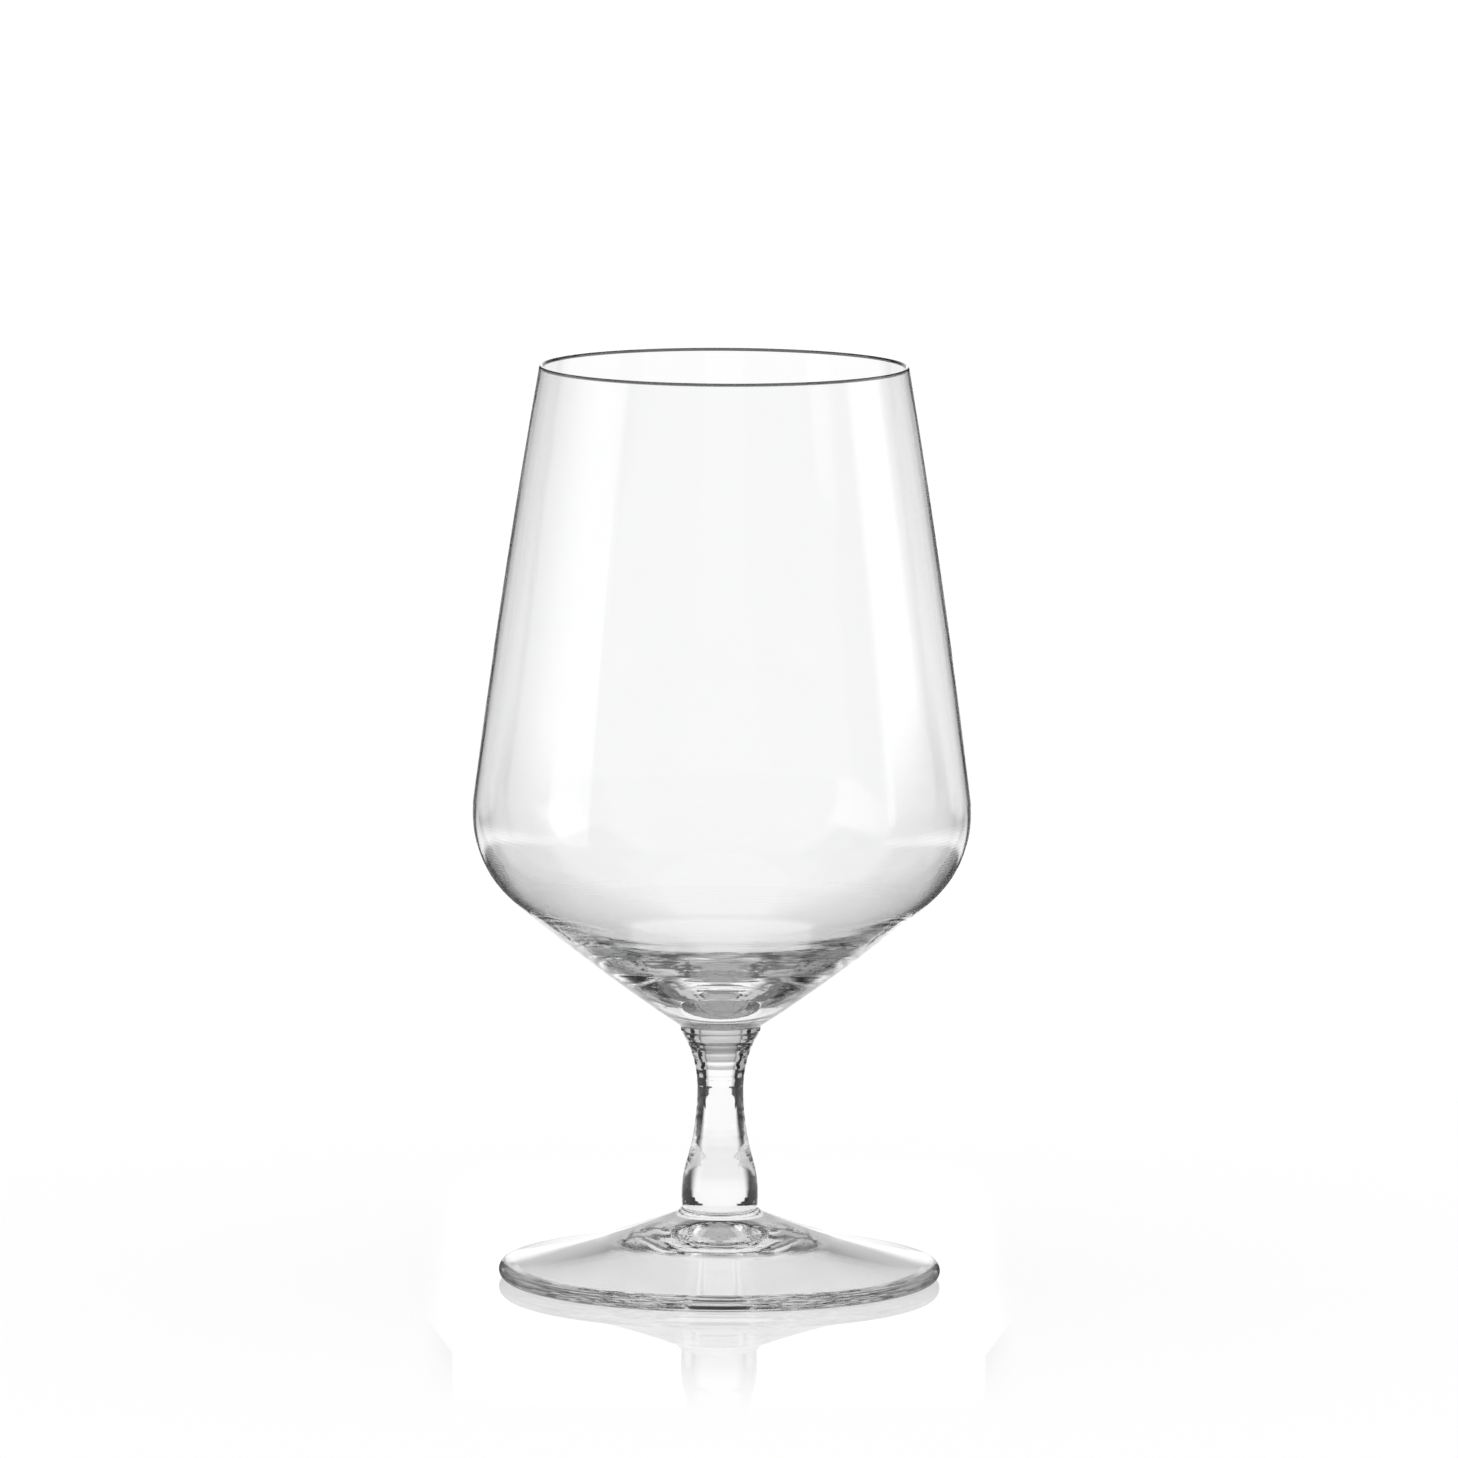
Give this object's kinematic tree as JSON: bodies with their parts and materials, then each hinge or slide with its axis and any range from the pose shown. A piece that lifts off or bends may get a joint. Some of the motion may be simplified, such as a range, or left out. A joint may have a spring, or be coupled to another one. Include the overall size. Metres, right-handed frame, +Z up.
{
  "type": "tulip beer glass",
  "caption": "Clear stemmed beer glass with a tulip bowl that draws in to a thin rim, a short waisted stem and a broad round foot.",
  "frame": {"origin": "middle of the resting face, under the foot", "axes": "+Z up along the glass's axis of revolution; X and Y lie in the table's surface"},
  "size_m": [0.0842, 0.0842, 0.155],
  "materials": {
    "clear_glass": "clear polished soda-lime glass"
  },
  "bodies": {
    "root": {"bowl": "clear_glass", "stem": "clear_glass", "foot": "clear_glass"}
  },
  "joints": []
}
